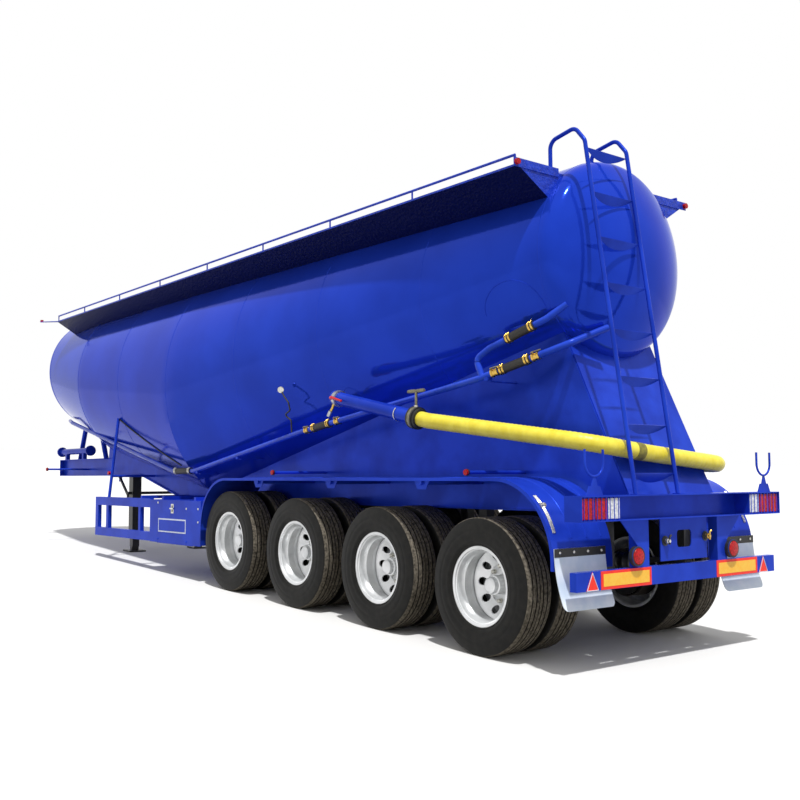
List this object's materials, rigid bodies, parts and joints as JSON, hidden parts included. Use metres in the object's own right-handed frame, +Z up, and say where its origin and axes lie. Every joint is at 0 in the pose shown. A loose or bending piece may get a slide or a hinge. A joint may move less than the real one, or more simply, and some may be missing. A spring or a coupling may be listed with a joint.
{
  "type": "tanker trailer",
  "caption": "Frameless dry bulk tanker semi-trailer with vee belly, twin wheels, walkways, ladder and stored discharge hose.",
  "frame": {"origin": "on the ground under the middle of the trailer, halfway along its overall length", "axes": "+X forward along the ground, +Y to the left, +Z up; the body itself stands nose down on its legs"},
  "size_m": [11.9136, 2.48, 4.1495],
  "materials": {
    "bare_aluminium": "satin",
    "black_rubber": "matte",
    "black_steel": "satin",
    "blue_paint": "gloss",
    "lamp": "gloss",
    "pale_flap": "satin",
    "reflector": "gloss",
    "silver_wheel": "satin",
    "tyre_rubber": "matte",
    "yellow_hose": "satin"
  },
  "bodies": {
    "trailer": {"air_pipe": "blue_paint", "air_reservoirs": "blue_paint", "air_sleeves": "black_rubber", "axles": "black_steel", "coupler_platform": "blue_paint", "cross_members": "blue_paint", "discharge_hose": "yellow_hose", "discharge_pipe": "blue_paint", "discharge_valve": "bare_aluminium", "dished_ends": "blue_paint", "fender_left": "blue_paint", "fender_right": "blue_paint", "flap_strips": "black_rubber", "front_manifold": "blue_paint", "front_struts": "blue_paint", "hose_coupling": "bare_aluminium", "hose_cradles": "blue_paint", "ladder": "blue_paint", "landing_legs": "black_steel", "leaf_springs": "black_steel", "leg_feet": "black_steel", "manhole_necks": "blue_paint", "marker_lamps": "lamp", "marker_rods": "blue_paint", "mudflaps": "pale_flap", "pipe_brackets": "blue_paint", "rear_beam": "blue_paint", "rear_bumper": "blue_paint", "rear_lamps": "lamp", "rear_support_plate": "blue_paint", "reflector_plates": "reflector", "side_frames": "blue_paint", "side_guards": "blue_paint", "spring_hangers": "black_steel", "tank_front_section": "blue_paint", "tank_rear_section": "blue_paint", "tool_boxes": "blue_paint", "walkway_left": "blue_paint", "walkway_right": "blue_paint"},
    "twin_wheel_left_1": {"tyres_left_1": "tyre_rubber", "wheel_left_1": "silver_wheel"},
    "twin_wheel_right_1": {"tyres_right_1": "tyre_rubber", "wheel_right_1": "silver_wheel"},
    "twin_wheel_left_2": {"tyres_left_2": "tyre_rubber", "wheel_left_2": "silver_wheel"},
    "twin_wheel_right_2": {"tyres_right_2": "tyre_rubber", "wheel_right_2": "silver_wheel"},
    "twin_wheel_left_3": {"tyres_left_3": "tyre_rubber", "wheel_left_3": "silver_wheel"},
    "twin_wheel_right_3": {"tyres_right_3": "tyre_rubber", "wheel_right_3": "silver_wheel"},
    "twin_wheel_left_4": {"tyres_left_4": "tyre_rubber", "wheel_left_4": "silver_wheel"},
    "twin_wheel_right_4": {"tyres_right_4": "tyre_rubber", "wheel_right_4": "silver_wheel"},
    "manhole_lid_1": {"manhole_lid_1": "blue_paint"},
    "manhole_lid_2": {"manhole_lid_2": "blue_paint"},
    "box_door_left": {"box_door_left": "blue_paint"},
    "box_door_right": {"box_door_right": "blue_paint"}
  },
  "joints": [
    {"name": "twin_wheel_left_1_spin", "type": "hinge", "parent": "trailer", "child": "twin_wheel_left_1", "pos_m": [-4.89195, 1.07, 0.53], "axis": [0, 1, 0], "continuous": true},
    {"name": "twin_wheel_right_1_spin", "type": "hinge", "parent": "trailer", "child": "twin_wheel_right_1", "pos_m": [-4.89195, -1.07, 0.53], "axis": [0, 1, 0], "continuous": true},
    {"name": "twin_wheel_left_2_spin", "type": "hinge", "parent": "trailer", "child": "twin_wheel_left_2", "pos_m": [-3.58195, 1.07, 0.53], "axis": [0, 1, 0], "continuous": true},
    {"name": "twin_wheel_right_2_spin", "type": "hinge", "parent": "trailer", "child": "twin_wheel_right_2", "pos_m": [-3.58195, -1.07, 0.53], "axis": [0, 1, 0], "continuous": true},
    {"name": "twin_wheel_left_3_spin", "type": "hinge", "parent": "trailer", "child": "twin_wheel_left_3", "pos_m": [-2.27195, 1.07, 0.53], "axis": [0, 1, 0], "continuous": true},
    {"name": "twin_wheel_right_3_spin", "type": "hinge", "parent": "trailer", "child": "twin_wheel_right_3", "pos_m": [-2.27195, -1.07, 0.53], "axis": [0, 1, 0], "continuous": true},
    {"name": "twin_wheel_left_4_spin", "type": "hinge", "parent": "trailer", "child": "twin_wheel_left_4", "pos_m": [-0.96195, 1.07, 0.53], "axis": [0, 1, 0], "continuous": true},
    {"name": "twin_wheel_right_4_spin", "type": "hinge", "parent": "trailer", "child": "twin_wheel_right_4", "pos_m": [-0.96195, -1.07, 0.53], "axis": [0, 1, 0], "continuous": true},
    {"name": "manhole_lid_1_hinge", "type": "hinge", "parent": "trailer", "child": "manhole_lid_1", "pos_m": [-2.82736, -0.32, 3.97168], "axis": [0.9992, 0, -0.041], "range_deg": [0, 110]},
    {"name": "manhole_lid_2_hinge", "type": "hinge", "parent": "trailer", "child": "manhole_lid_2", "pos_m": [2.46818, -0.32, 3.75436], "axis": [0.9992, 0, -0.041], "range_deg": [0, 110]},
    {"name": "box_door_left_hinge", "type": "hinge", "parent": "trailer", "child": "box_door_left", "pos_m": [0.33307, 1.192, 0.38107], "axis": [-0.9992, 0, 0.041], "range_deg": [0, 100]},
    {"name": "box_door_right_hinge", "type": "hinge", "parent": "trailer", "child": "box_door_right", "pos_m": [0.33307, -1.192, 0.38107], "axis": [0.9992, 0, -0.041], "range_deg": [0, 100]}
  ]
}
